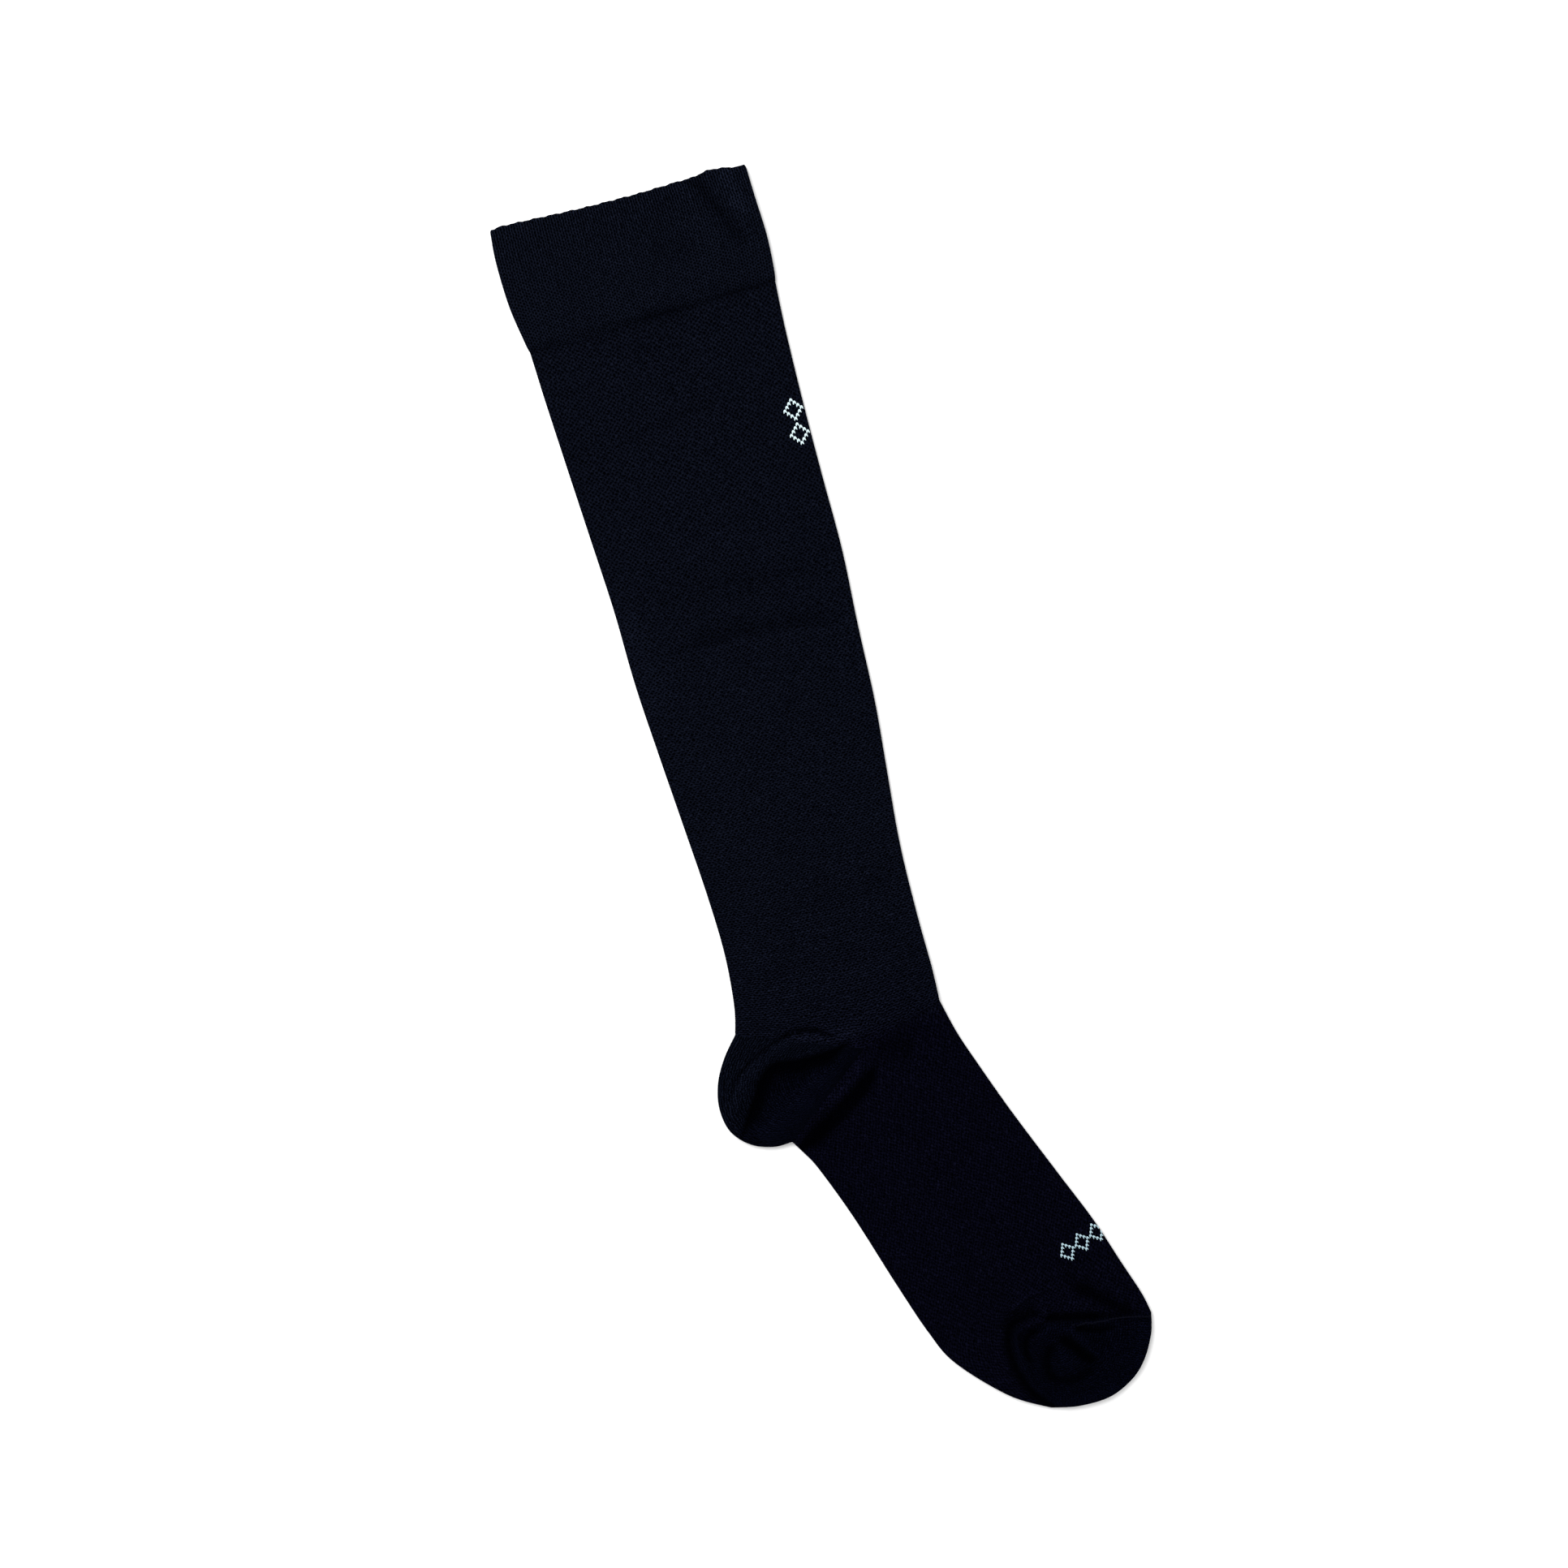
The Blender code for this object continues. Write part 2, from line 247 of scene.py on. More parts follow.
def knit_piece(name, outer, inner, wales, courses, shade, edge_rows=(), fade=7.0, times=None):
    """Lays a grid on the outer rings and back up the inner ones, and closes it to a wall.
    Its UV map counts wales and courses, times over in each column of faces where times is
    given. One attribute holds the folds' painted shade and highlight, and the other how
    much of the yarn is the foot's, which takes over across fade."""
    laps = np.vstack([outer, inner[::-1], *[row[None] for row in edge_rows], outer[:1]])
    rows, columns = laps.shape[0] - 1, laps.shape[1] - 1
    back = len(laps) - len(outer)
    wales = np.vstack([wales, np.repeat(wales[:1], back, axis=0)])
    courses = np.vstack([courses, np.zeros((back, columns + 1))])
    shade = np.vstack([shade, np.repeat(shade[:1], back, axis=0)]).ravel()
    bpy.ops.mesh.primitive_grid_add(x_subdivisions=columns, y_subdivisions=rows, size=1.0)
    piece = bpy.context.object
    piece.name = piece.data.name = name
    mesh = piece.data
    assert len(mesh.vertices) == (rows + 1) * (columns + 1)
    laid = laps.reshape(-1, 3).copy()
    gap, side, _ = off_path(laid[:, :2], YARN_CHANGE)
    laid[:, :2] -= CENTRE
    mesh.vertices.foreach_set("co", (laid * MM).astype(np.float32).ravel())
    # The folds' painted shade and painted highlight, kept on each point.
    mesh.attributes.new("painted_fold_light", "FLOAT", "POINT").data.foreach_set("value", shade)
    above = side * gap
    foot_share = smooth(0.5 - above / fade)
    plied = PLIED_SHARE * (1.0 - foot_share)
    foot_share += plied * np.exp(-np.maximum(above, 0.0) / PLIED_REACH)
    mesh.attributes.new("foot_yarn", "FLOAT", "POINT").data.foreach_set("value", foot_share)
    corner = np.zeros(len(mesh.loops), np.int32)
    mesh.loops.foreach_get("vertex_index", corner)
    row_of, column_of = corner // (columns + 1), corner % (columns + 1)
    face_column = np.repeat(column_of.reshape(-1, 4).min(axis=1), 4)
    times = np.ones(columns + 1) if times is None else times
    courses = courses[row_of, column_of] * times[face_column]
    stitches = np.c_[wales[row_of, column_of], courses]
    mesh.uv_layers.active.data.foreach_set("uv", stitches.astype(np.float32).ravel())
    bpy.ops.object.mode_set(mode="EDIT")
    bpy.ops.mesh.select_all(action="SELECT")
    bpy.ops.mesh.remove_doubles(threshold=SAME_POINT_M)
    bpy.ops.mesh.normals_make_consistent(inside=False)
    bpy.ops.object.mode_set(mode="OBJECT")
    bpy.ops.object.shade_smooth_by_angle(angle=SHARP_ANGLE)
    piece.select_set(False)
    return piece


def link(tree, kind, inputs=(), output=0, **settings):
    """Adds a node, sets and joins its inputs, and gives its output."""
    node = tree.nodes.new(kind)
    for key, value in settings.items():
        setattr(node, key, value)
    for key, value in dict(inputs).items():
        if isinstance(value, bpy.types.NodeSocket):
            tree.links.new(value, node.inputs[key])
        else:
            node.inputs[key].default_value = value
    return node.outputs[output]


def sums(tree, operation, first, second=0.0, third=0.0):
    """One step of arithmetic."""
    return link(tree, "ShaderNodeMath", {0: first, 1: second, 2: third}, operation=operation)


# Cells to the metre of the noise that leads the yarn astray, clouds the dye and shows the
# plies, how far the clouds go from dark to light, and how deep the stitches are.
STRAY_CELLS = 620.0
CLOUD_CELLS = 55.0
PLY_CELLS = 1300.0
CLOUDY = 0.3
STITCH_DEPTH_M = 0.00022
# The painted shade in the knit's holes, nearly black.
HOLE_SHADE_BLACK = (0.0001, 0.0001, 0.0003)


def knit(name, loops, leg_yarn, foot_yarn, contrast, patchy=0.2, wander=0.5):
    """Knitted yarn, with painted shade that goes nearly black in the holes. loops gives the
    height of the stitches, from -1 in the holes to 1 on the loops, and contrast is how
    much the loops stand out against the painted shade. patchy is how unlike in shade the
    stitches are, and wander how far they stray, in stitches."""
    material = bpy.data.materials.new(name)
    material.use_nodes = True
    tree = material.node_tree
    shader = tree.nodes["Principled BSDF"]
    shader.inputs["Specular IOR Level"].default_value = 0.0
    shader.inputs["Sheen Weight"].default_value = 0.003
    shader.inputs["Sheen Roughness"].default_value = 0.5
    shader.inputs["Sheen Tint"].default_value = (0.45, 0.55, 1.0, 1.0)
    place = link(tree, "ShaderNodeTexCoord", output=3)
    stitch = link(tree, "ShaderNodeUVMap", uv_map="UVMap")
    strays = link(
        tree,
        "ShaderNodeTexNoise",
        {"Vector": place, "Scale": STRAY_CELLS, "Detail": 2.0},
        output=1,
    )
    strays = link(
        tree,
        "ShaderNodeVectorMath",
        {0: strays, 1: (0.5, 0.5, 0.5)},
        operation="SUBTRACT",
    )
    strays = link(
        tree, "ShaderNodeVectorMath", {0: strays, "Scale": 4 * wander}, operation="SCALE"
    )
    stitch = link(tree, "ShaderNodeVectorMath", {0: stitch, 1: strays}, operation="ADD")
    split = tree.nodes.new("ShaderNodeSeparateXYZ")
    tree.links.new(stitch, split.inputs[0])
    wale, course = split.outputs[0], split.outputs[1]
    height = loops(tree, wale, course)
    cell = {0: sums(tree, "ROUND", wale), 1: sums(tree, "ROUND", course)}
    cell = link(tree, "ShaderNodeCombineXYZ", cell)
    chance = link(tree, "ShaderNodeTexWhiteNoise", {"Vector": cell}, noise_dimensions="3D")
    cloud = link(
        tree, "ShaderNodeTexNoise", {"Vector": place, "Scale": CLOUD_CELLS, "Detail": 3.0}
    )
    bright = sums(tree, "MAXIMUM", sums(tree, "MULTIPLY_ADD", height, 0.5, 0.5), 0.0)
    bright = sums(tree, "POWER", bright, contrast)
    plies = link(
        tree, "ShaderNodeTexNoise", {"Vector": place, "Scale": PLY_CELLS, "Detail": 1.0}
    )
    plies = sums(tree, "MULTIPLY_ADD", plies, 2.0, 0.0)
    bright = sums(tree, "MULTIPLY", bright, plies)
    dye = sums(tree, "MULTIPLY_ADD", chance, 2 * patchy, 1.0 - patchy)
    bright = sums(tree, "MULTIPLY", bright, dye)
    cloudy = sums(tree, "MULTIPLY_ADD", cloud, CLOUDY, 1.0 - CLOUDY / 2)
    bright = sums(tree, "MULTIPLY", bright, cloudy)
    # Painted shade darkens the creases and a painted highlight lightens the swells.
    light = link(tree, "ShaderNodeAttribute", output=2, attribute_name="painted_fold_light")
    bright = sums(tree, "MULTIPLY", bright, light)
    foot_share = link(tree, "ShaderNodeAttribute", output=2, attribute_name="foot_yarn")
    yarn = link(
        tree,
        "ShaderNodeMix",
        {"Factor": foot_share, 6: (*leg_yarn, 1.0), 7: (*foot_yarn, 1.0)},
        output=2,
        data_type="RGBA",
    )
    # From painted shade in the holes to the yarn's colour on the loops.
    colour = link(
        tree,
        "ShaderNodeMix",
        {"Factor": bright, 6: (*HOLE_SHADE_BLACK, 1.0), 7: yarn},
        output=2,
        data_type="RGBA",
    )
    tree.links.new(colour, shader.inputs["Base Color"])
    rough = sums(tree, "MULTIPLY_ADD", height, -0.04, 0.92)
    tree.links.new(rough, shader.inputs["Roughness"])
    bump = link(tree, "ShaderNodeBump", {"Height": height, "Distance": STITCH_DEPTH_M})
    tree.links.new(bump, shader.inputs["Normal"])
    return material


# How much the tuck knit's holes count against its lines. The lines along the wales start
# this strong and have gone after so many courses, when those along the courses are full. A
# course's line lies this turn away from its holes.
HOLE_SHARE = 0.66
FIRST_WALE_LINES = -0.2
LINES_CHANGE = 320.0
COURSE_LINE_TURN = -2.6


def tuck_loops(last_lines):
    """Bird's-eye knit: a tuck at every other stitch, half dropped from wale to wale. Lines
    along the wales fade down the piece, and lines along the courses come up to a strength
    of last_lines."""

    def loops(tree, wale, course):
        across = sums(tree, "COSINE", sums(tree, "MULTIPLY", wale, math.pi))
        along = sums(tree, "COSINE", sums(tree, "MULTIPLY", course, math.pi))
        holes = sums(tree, "MULTIPLY", sums(tree, "MULTIPLY", across, along), HOLE_SHARE)
        wale_lines = sums(tree, "COSINE", sums(tree, "MULTIPLY", wale, 2 * math.pi))
        turned = sums(tree, "MULTIPLY_ADD", course, 2 * math.pi, COURSE_LINE_TURN)
        course_lines = sums(tree, "COSINE", turned)
        reach = {"Value": course, "From Max": LINES_CHANGE}
        fade = {**reach, "To Min": FIRST_WALE_LINES, "To Max": 0.0}
        fading = link(tree, "ShaderNodeMapRange", fade)
        coming = link(tree, "ShaderNodeMapRange", {**reach, "To Max": last_lines})
        net = sums(tree, "MULTIPLY_ADD", wale_lines, fading, holes)
        return sums(tree, "MULTIPLY_ADD", course_lines, coming, net)

    return loops


# How strong the ribs are on the second course from the mouth, and from the fiftieth on.
RIB_STRENGTH = {"From Min": 2.0, "From Max": 50.0, "To Min": 0.6, "To Max": 0.36}


def ribbed_loops(tree, wale, course):
    """Tuck knit under fine ribs, which show most where the welt is turned at the mouth."""
    strong = link(tree, "ShaderNodeMapRange", {"Value": course, **RIB_STRENGTH})
    rib = sums(tree, "COSINE", sums(tree, "MULTIPLY", wale, 2 * math.pi))
    across = sums(tree, "COSINE", sums(tree, "MULTIPLY", wale, math.pi))
    along = sums(tree, "COSINE", sums(tree, "MULTIPLY", course, math.pi))
    holes = sums(tree, "MULTIPLY", across, along)
    over = sums(tree, "MULTIPLY", sums(tree, "ADD", rib, holes), strong)
    return sums(tree, "SUBTRACT", holes, over)


def dress(piece, material, node):
    """Gives a piece its yarn, hangs it on the root body, and hides the solid it stands for.
    """
    piece.data.materials.append(material)
    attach(piece, "root")
    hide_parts(node)


def on_top(rings, start=1.5):
    """1 on the upper side and 0 below, where the cloth lies on the surface."""
    return smooth((rings[:, :, 2] - start) / 1.5)


def turned_edge(outer, inner, steps=5):
    """Rows that roll the mouth's edge from the inner ring over to the outer one."""
    rows = []
    for turn in np.linspace(math.pi, 0.0, steps + 2)[1:-1]:
        share = 0.5 - 0.5 * math.cos(turn)
        row = outer * (1 - share) + inner * share
        row[:, 1] += EDGE_ROUND * math.sin(turn)
        rows.append(row)
    return rows


# The line where the welt is caught down starts here at the back and rises to the front. It
# isn't quite straight: each wave's height, middle and reach. The cloth dips to it.
CATCH_START = (-76.4, 222.4)
CATCH_RISE = 0.0182
CATCH_WAVES = ((-1.7, -52, 15), (0.5, -12, 11), (0.3, 28, 12))
CATCH_REACH = 12.0
CATCH_DIP = 0.45


def caught_edge(rings):
    """Bends the rings to the line where the welt is caught down, and lets the cloth dip
    to it from both sides. Gives the painted shade at each point: the line is painted dark
    as shade in its dip, most towards the shin, with a soft painted shadow round it in the
    middle."""
    x, y = rings[:, :, 0], rings[:, :, 1]
    upper = on_top(rings)
    line = CATCH_START[1] + (x - CATCH_START[0]) * CATCH_RISE
    near = smooth(1.0 - np.abs(y - line) / CATCH_REACH) * upper
    wave = sum(height * hump(x, middle, reach) for height, middle, reach in CATCH_WAVES)
    rings[:, :, 1] += near * wave
    middle = hump(x, -16, 12)
    dip = hump(y, line, 1.3) * upper
    rings[:, :, 2] -= CATCH_DIP * dip
    soft = hump(y, line, 4.0) * upper
    front = smooth(x / 12.0)
    # Painted shade along the line where the cloth dips, and a soft painted shadow round it.
    return 1.0 - (0.2 + 0.12 * middle + 0.16 * front) * dip - (0.05 + 0.2 * middle) * soft


MOUTH = 276.0
MOUTH_REACH = 16.0
ROLL_REACH = 8.0


def shaped_mouth(rings):
    """Stands the mouth up in one small bump beside a shallow dip, and lets it sink at both
    folds. It wavers a little in between, and its edge rolls over inwards."""
    x, down = rings[:, :, 0], MOUTH - rings[:, :, 1]
    bump = 1.1 * hump(x, 17.5, 5.2) - 0.5 * hump(x, -38, 22)
    bump -= 2.0 * smooth((x - 22.0) / 14.0) + 0.9 * smooth((x - 31.0) / 2.7)
    bump -= 1.2 * smooth((-73.5 - x) / 5.0)
    bump += 0.15 * np.sin(0.83 * x) + 0.1 * np.sin(1.9 * x + 1.0)
    bump *= on_top(rings, 1.0)
    bump *= smooth(1.0 - down / MOUTH_REACH)
    rings[:, :, 1] += bump - EDGE_ROUND * smooth(1.0 - down / ROLL_REACH)


welt_outer, welt_wales, welt_shade = tube(
    WELT_COURSES, WELT_STEPS[0], WELT_COLUMNS, WELT_FOLDS, WELT_WALL
)
welt_inner, _, _ = tube(
    WELT_COURSES, WELT_STEPS[1], WELT_COLUMNS, WELT_FOLDS, WELT_WALL, WELT_WALL
)
# The caught line's painted shade joins the folds' painted shade and highlight.
welt_shade *= caught_edge(welt_outer)
caught_edge(welt_inner)
ribs = 0.5 - 0.5 * np.cos(2 * math.pi * welt_wales)
welt_outer[:, :, 2] += RIB_HEIGHT * ribs * on_top(welt_outer)
shaped_mouth(welt_outer)
shaped_mouth(welt_inner)
mouth = turned_edge(welt_outer[0], welt_inner[0])

WELT_YARN = (0.0073, 0.0096, 0.0192)
LEG_YARN = (0.0064, 0.0083, 0.0170)
FOOT_YARN = (0.0036, 0.0037, 0.0114)
welt_knit = knit("ribbed welt knit", ribbed_loops, WELT_YARN, LEG_YARN, 2.2, wander=0.3)
welt = knit_piece(
    "welt_band",
    welt_outer,
    welt_inner,
    welt_wales,
    course_count(welt_outer, WELT_COURSE),
    welt_shade,
    mouth,
)
dress(welt, welt_knit, "welt")


# ---- The leg ----------------------------------------------------------------------------
# The tube from under the welt to the ankle, in a tuck knit whose small holes are half
# dropped. The machine keeps its needles and tightens the yarn, so the wales close in.

LEG_STEPS = (1.0, 2.4)
LEG_COLUMNS = ((76, 16), (56, 12))
LEG_COURSE = 1.0
LEG_COURSES = (
    (-75.4, 222.4, -12.6, 223.0, 33.1, 224.4, 4.0, 4.4, 0),
    (-75.1, 215.0, -12.7, 215.6, 32.6, 216.6, 3.3, 3.7, 0),
    (-74.5, 200.0, -13.0, 200.6, 31.9, 201.4, 3.0, 3.4, 0),
    (-73.0, 172.0, -12.8, 172.0, 31.2, 172.0, 2.9, 3.4, 0),
    (-71.2, 140.0, -12.2, 140.0, 31.0, 140.0, 2.9, 3.5, 0),
    (-69.4, 107.0, -11.5, 107.0, 31.0, 107.0, 2.9, 3.4, 0),
    (-68.8, 74.0, -12.3, 74.0, 29.2, 74.0, 2.9, 3.5, 0),
    (-66.7, 41.0, -12.2, 41.0, 27.8, 41.0, 2.9, 3.4, 0),
    (-64.6, 12.0, -12.6, 12.0, 25.2, 12.0, 2.9, 3.4, 0),
    (-62.4, -20.0, -13.2, -20.5, 22.4, -20.0, 3.0, 3.5, 0),
    (-61.7, -46.0, -13.4, -51.0, 21.7, -50.0, 3.2, 3.6, 0),
    (-63.4, -68.0, -14.0, -79.0, 21.9, -74.0, 3.6, 3.9, 0),
    (-66.2, -80.4, -14.6, -99.8, 21.4, -88.6, 4.0, 4.2, 0),
)
WALL = 1.0
LEG_FOLDS = (
    (-0.55, 3.5, 5.5, ((-53.4, 174), (-37.2, 177.1), (-14.2, 180.5), (10.0, 181))),
    (0.3, 6.0, 6.0, ((-50.0, 165), (-10.0, 171))),
    (-0.65, 7.5, 7.5, ((-60.4, 107.6), (31.0, 101))),
    (-0.9, 7.0, 2.4, ((-50.0, 81.0), (-41.0, 82.8), (-34.2, 83.6), (-15.7, 83.0), (3.5, 81.2),
                      (17.3, 79.6), (31.0, 77.6))),
    (-0.3, 3.6, 1.8, ((-47.0, 81.6), (-39.0, 83.0), (-28.0, 83.4), (-12.0, 82.4))),
    (0.9, 9.0, 9.0, ((-66.0, 114.0), (-65.0, 92.0), (-61.0, 74.0), (-60.0, 50.0))),
    (0.5, 4.0, 4.0, ((-40.0, 78.0), (-5.0, 77.5), (26.0, 73.5))),
    (0.5, 3.0, 3.0, ((22.0, 75.0), (29.5, 71.5))),
    (-0.35, 3.5, 3.5, ((-31.1, -12.0), (-6.4, -13.1), (11.1, -16.0))),
    (-0.55, 3.5, 4.5, ((-40.7, -34.5), (20.0, -34.7))),
    (0.3, 4.5, 4.5, ((-30.0, -43.0), (10.0, -44.5))),
    (-0.55, 3.5, 4.5, ((-58.2, -58.7), (17.0, -60.6))),
    (0.3, 4.0, 4.0, ((-50.0, -66.5), (5.0, -69.0))),
)
# The folds of the heel reach onto the leg's last courses and the foot's first, and those of
# the toe onto the foot's last, so all pieces below the welt share one list.
HEEL_FOLDS = (
    (1.6, 2.8, 4.4, ((-16.0, -95.2), (-28.6, -92.1), (-37.5, -89.9), (-45.3, -90.2),
                     (-52.9, -92.0), (-60.0, -95.2), (-66.0, -99.6), (-70.6, -104.6),
                     (-74.4, -111.0), (-76.4, -120.0))),
    (-2.1, 1.2, 1.3, ((-25.0, -92.2), (-31.2, -88.4), (-36.6, -86.3), (-42.4, -85.7),
                      (-49.5, -87.2))),
    (-1.3, 1.0, 1.1, ((-43.0, -85.4), (-56.0, -90.0), (-63.6, -93.7), (-69.5, -98.1),
                      (-73.1, -102.5), (-75.9, -109.5))),
    (1.0, 2.8, 2.8, ((-24.0, -92.6), (-18.0, -91.0), (-11.0, -91.5))),
    (-3.4, 3.7, 1.6, ((-19.5, -95.4), (-25.3, -97.8), (-30.3, -98.9), (-36.3, -99.3),
                      (-42.2, -99.2), (-47.9, -98.3), (-53.0, -97.6), (-57.0, -99.4),
                      (-60.6, -103.2), (-63.8, -108.4), (-67.6, -114.0), (-71.6, -119.0),
                      (-74.6, -124.0))),
    (-1.2, 5.5, 3.5, ((-38.0, -102.5), (-46.0, -103.0), (-54.0, -103.5), (-59.0, -110.0))),
    (2.0, 6.0, 6.0, ((-25.5, -104.5), (-36.0, -110.1), (-52.2, -119.0), (-66.0, -126.0))),
    (1.9, 2.2, 2.6, ((-21.0, -89.5), (-17.2, -93.5), (-17.2, -98.9), (-17.2, -103.3),
                     (-19.0, -107.6), (-22.8, -111.6), (-27.5, -114.6), (-33.0, -117.3),
                     (-39.2, -120.5), (-46.3, -123.0))),
    (2.4, 3.6, 4.6, ((-37.0, -117.8), (-46.0, -121.0), (-54.0, -123.6), (-62.0, -125.0),
                     (-71.0, -122.0))),
    (0.9, 3.0, 2.0, ((-18.0, -102.0), (-28.0, -108.8), (-38.0, -115.0), (-48.0, -121.0))),
    (-3.4, 4.4, 1.8, ((-10.6, -105.8), (-13.8, -109.8), (-18.6, -113.8), (-25.4, -118.6),
                      (-33.0, -123.4), (-41.3, -127.6), (-47.9, -131.2), (-55.5, -136.6))),
    (-1.4, 5.0, 3.0, ((-33.0, -124.5), (-42.0, -129.5), (-50.0, -135.0))),
    (-1.2, 8.0, 7.0, ((-10.6, -101.0), (-3.0, -103.5), (8.0, -101.0))),
)
FOOT_FOLDS = (
    (-0.25, 6.0, 6.0, ((-20.0, -150.0), (20.0, -134.0))),
    (0.25, 7.0, 7.0, ((-12.0, -176.0), (36.0, -158.0))),
    (0.35, 1.3, 1.3, ((-14.6, -233.2), (-2.3, -228.7), (8.3, -224.4))),
    (2.0, 0.8, 0.8, ((15.5, -224.6), (19.2, -222.1), (23.3, -220.1), (27.2, -218.9),
                     (34.0, -219.0))),
    (-1.9, 3.2, 3.6, ((43.5, -218.5), (49.5, -223.5), (55.0, -228.5), (60.5, -233.4),
                      (68.5, -238.9))),
    (-0.9, 5.0, 5.0, ((42.0, -213.0), (47.0, -219.0), (53.0, -226.0))),
    (-1.6, 2.8, 2.8, ((10.7, -229.8), (17.7, -227.1), (23.7, -226.5), (29.5, -226.9))),
    (0.8, 2.2, 2.2, ((40.5, -228.6), (47.0, -230.2), (53.0, -233.2))),
)
TOE_FOLDS = (
    (-2.6, 1.9, 1.8, ((55.0, -236.4), (46.8, -234.2), (39.2, -232.6), (32.6, -231.0),
                      (27.0, -230.4))),
    (-2.1, 2.0, 2.0, ((27.5, -228.4), (24.0, -228.2), (20.0, -228.4), (15.8, -229.6),
                      (13.2, -231.4), (12.3, -235.2), (11.6, -240.7), (12.0, -247.9),
                      (13.9, -254.7), (16.8, -260.6), (20.8, -265.4), (27.0, -270.0),
                      (32.0, -272.0))),
    (2.3, 0.9, 0.9, ((22.5, -225.8), (28.0, -226.0), (29.9, -227.2), (30.9, -229.0),
                     (29.5, -230.9), (24.0, -231.3), (18.9, -232.1), (16.2, -233.8),
                     (15.3, -237.0), (15.3, -243.5))),
    (1.3, 1.3, 1.3, ((15.7, -236.5), (15.6, -243.5), (16.2, -250.7), (18.4, -258.0),
                     (24.0, -265.0))),
    (-2.0, 1.4, 1.4, ((28.0, -235.4), (23.2, -235.0), (20.3, -236.3), (18.9, -239.0),
                      (18.3, -243.3), (19.6, -249.0))),
    (2.2, 1.2, 2.0, ((20.0, -239.2), (28.0, -235.6), (31.4, -234.8), (35.4, -235.0),
                     (39.4, -238.1), (42.4, -242.1), (45.0, -246.3), (49.6, -253.4))),
    (-2.9, 2.3, 2.3, ((32.5, -239.6), (35.9, -242.2), (39.4, -246.2), (42.1, -250.4),
                      (46.6, -255.0))),
    (-1.7, 2.3, 2.3, ((46.0, -255.2), (38.8, -258.2), (34.0, -259.0), (29.0, -257.6),
                      (25.6, -254.5))),
    (-1.9, 2.6, 2.6, ((27.6, -259.0), (25.4, -252.5), (25.9, -247.6), (28.0, -243.8),
                      (33.0, -241.4))),
    (1.7, 2.3, 2.3, ((32.4, -244.5), (35.6, -254.0))),
    (0.9, 1.2, 1.3, ((75.0, -240.9), (67.6, -239.8), (61.6, -238.8), (55.5, -238.1),
                     (50.3, -237.4), (45.9, -236.8), (39.5, -236.1))),
    (-1.3, 1.5, 1.8, ((46.0, -234.2), (51.0, -235.2), (58.0, -237.0), (70.0, -238.4))),
    (-1.9, 2.3, 1.3, ((39.5, -237.8), (45.8, -240.0), (50.7, -241.6), (58.0, -242.2))),
    (-0.8, 4.0, 4.0, ((44.5, -245.0), (55.5, -249.0))),
    (-0.6, 0.9, 0.9, ((60.0, -240.9), (67.0, -241.4), (73.5, -242.1))),
    (0.6, 1.4, 1.4, ((60.0, -242.6), (67.0, -243.2), (73.5, -243.9))),
    (1.3, 5.0, 5.0, ((72.0, -240.0), (69.5, -251.0), (60.0, -263.0))),
    (1.4, 2.2, 2.2, ((18.0, -263.0), (27.0, -267.0), (36.0, -268.4), (46.0, -267.9),
                     (57.0, -263.8))),
)
BELOW_FOLDS = (*LEG_FOLDS, *HEEL_FOLDS, *FOOT_FOLDS, *TOE_FOLDS)

leg_outer, leg_wales, leg_shade = tube(
    LEG_COURSES, LEG_STEPS[0], LEG_COLUMNS, BELOW_FOLDS, WALL
)
leg_inner, _, _ = tube(LEG_COURSES, LEG_STEPS[1], LEG_COLUMNS, BELOW_FOLDS, WALL, WALL)
# The caught line's painted shade joins the folds' painted shade and highlight.
leg_shade *= caught_edge(leg_outer)
caught_edge(leg_inner)
leg_knit = knit("leg tuck knit", tuck_loops(0.65), LEG_YARN, FOOT_YARN, 2.2, patchy=0.16)
leg = knit_piece(
    "leg_tube",
    leg_outer,
    leg_inner,
    leg_wales,
    course_count(leg_outer, LEG_COURSE),
    leg_shade,
)
dress(leg, leg_knit, "leg")


# ---- The heel pocket --------------------------------------------------------------------
# Short courses knitted to and fro in plain knit, which open like a fan from the gore. The
# pocket is laid flat, so its slack cloth lies in one deep fold and a roll along its edge.

HEEL_GORE = (-14.6, -99.8)
# Place on the fold, the fold's height, and how far the course that ends there bows.
HEEL_EDGE = (
    (-66.2, -80.4, 4.0, 0),
    (-73.4, -89.0, 4.4, 0),
    (-78.6, -98.5, 4.6, 0),
    (-80.8, -109.0, 4.8, 0),
    (-78.9, -119.4, 4.8, 0),
    (-72.0, -127.0, 4.6, 0),
    (-62.6, -130.6, 4.2, 0),
    (-54.6, -130.6, 3.6, 0),
)
# How high the cloth lies at the gore, and how much it puffs up halfway out to the fold.
HEEL_CROWN = 4.2
HEEL_PUFF = 1.3
HEEL_STEP = 0.7
HEEL_COLUMNS = (104, 20)
POCKET_WALE = 1.17
POCKET_COURSE = 1.05
# The heel's yarn above the line where the yarn changes, and below it.
HEEL_YARN = (0.0053, 0.0071, 0.0142)
HEEL_DEEP_YARN = (0.0025, 0.0031, 0.0088)


def pocket(edge_rows, step, gore, crown, puff, columns, inset=0.0):
    """Half rings that fan out from the gore to the edge."""
    rings, depths, shades = [], [], []
    edges = spline(edge_rows, step)
    for index, (x, y, fold, bow) in enumerate(edges):
        heights = fold, crown, bow, puff * math.sin(math.pi * index / (len(edges) - 1))
        made = half_ring(
            np.array((x, y)), np.array(gore), heights, columns, BELOW_FOLDS, WALL, inset
        )
        for kept, new in zip((rings, depths, shades), made):
            kept.append(new)
    return np.array(rings), np.array(depths), np.array(shades)


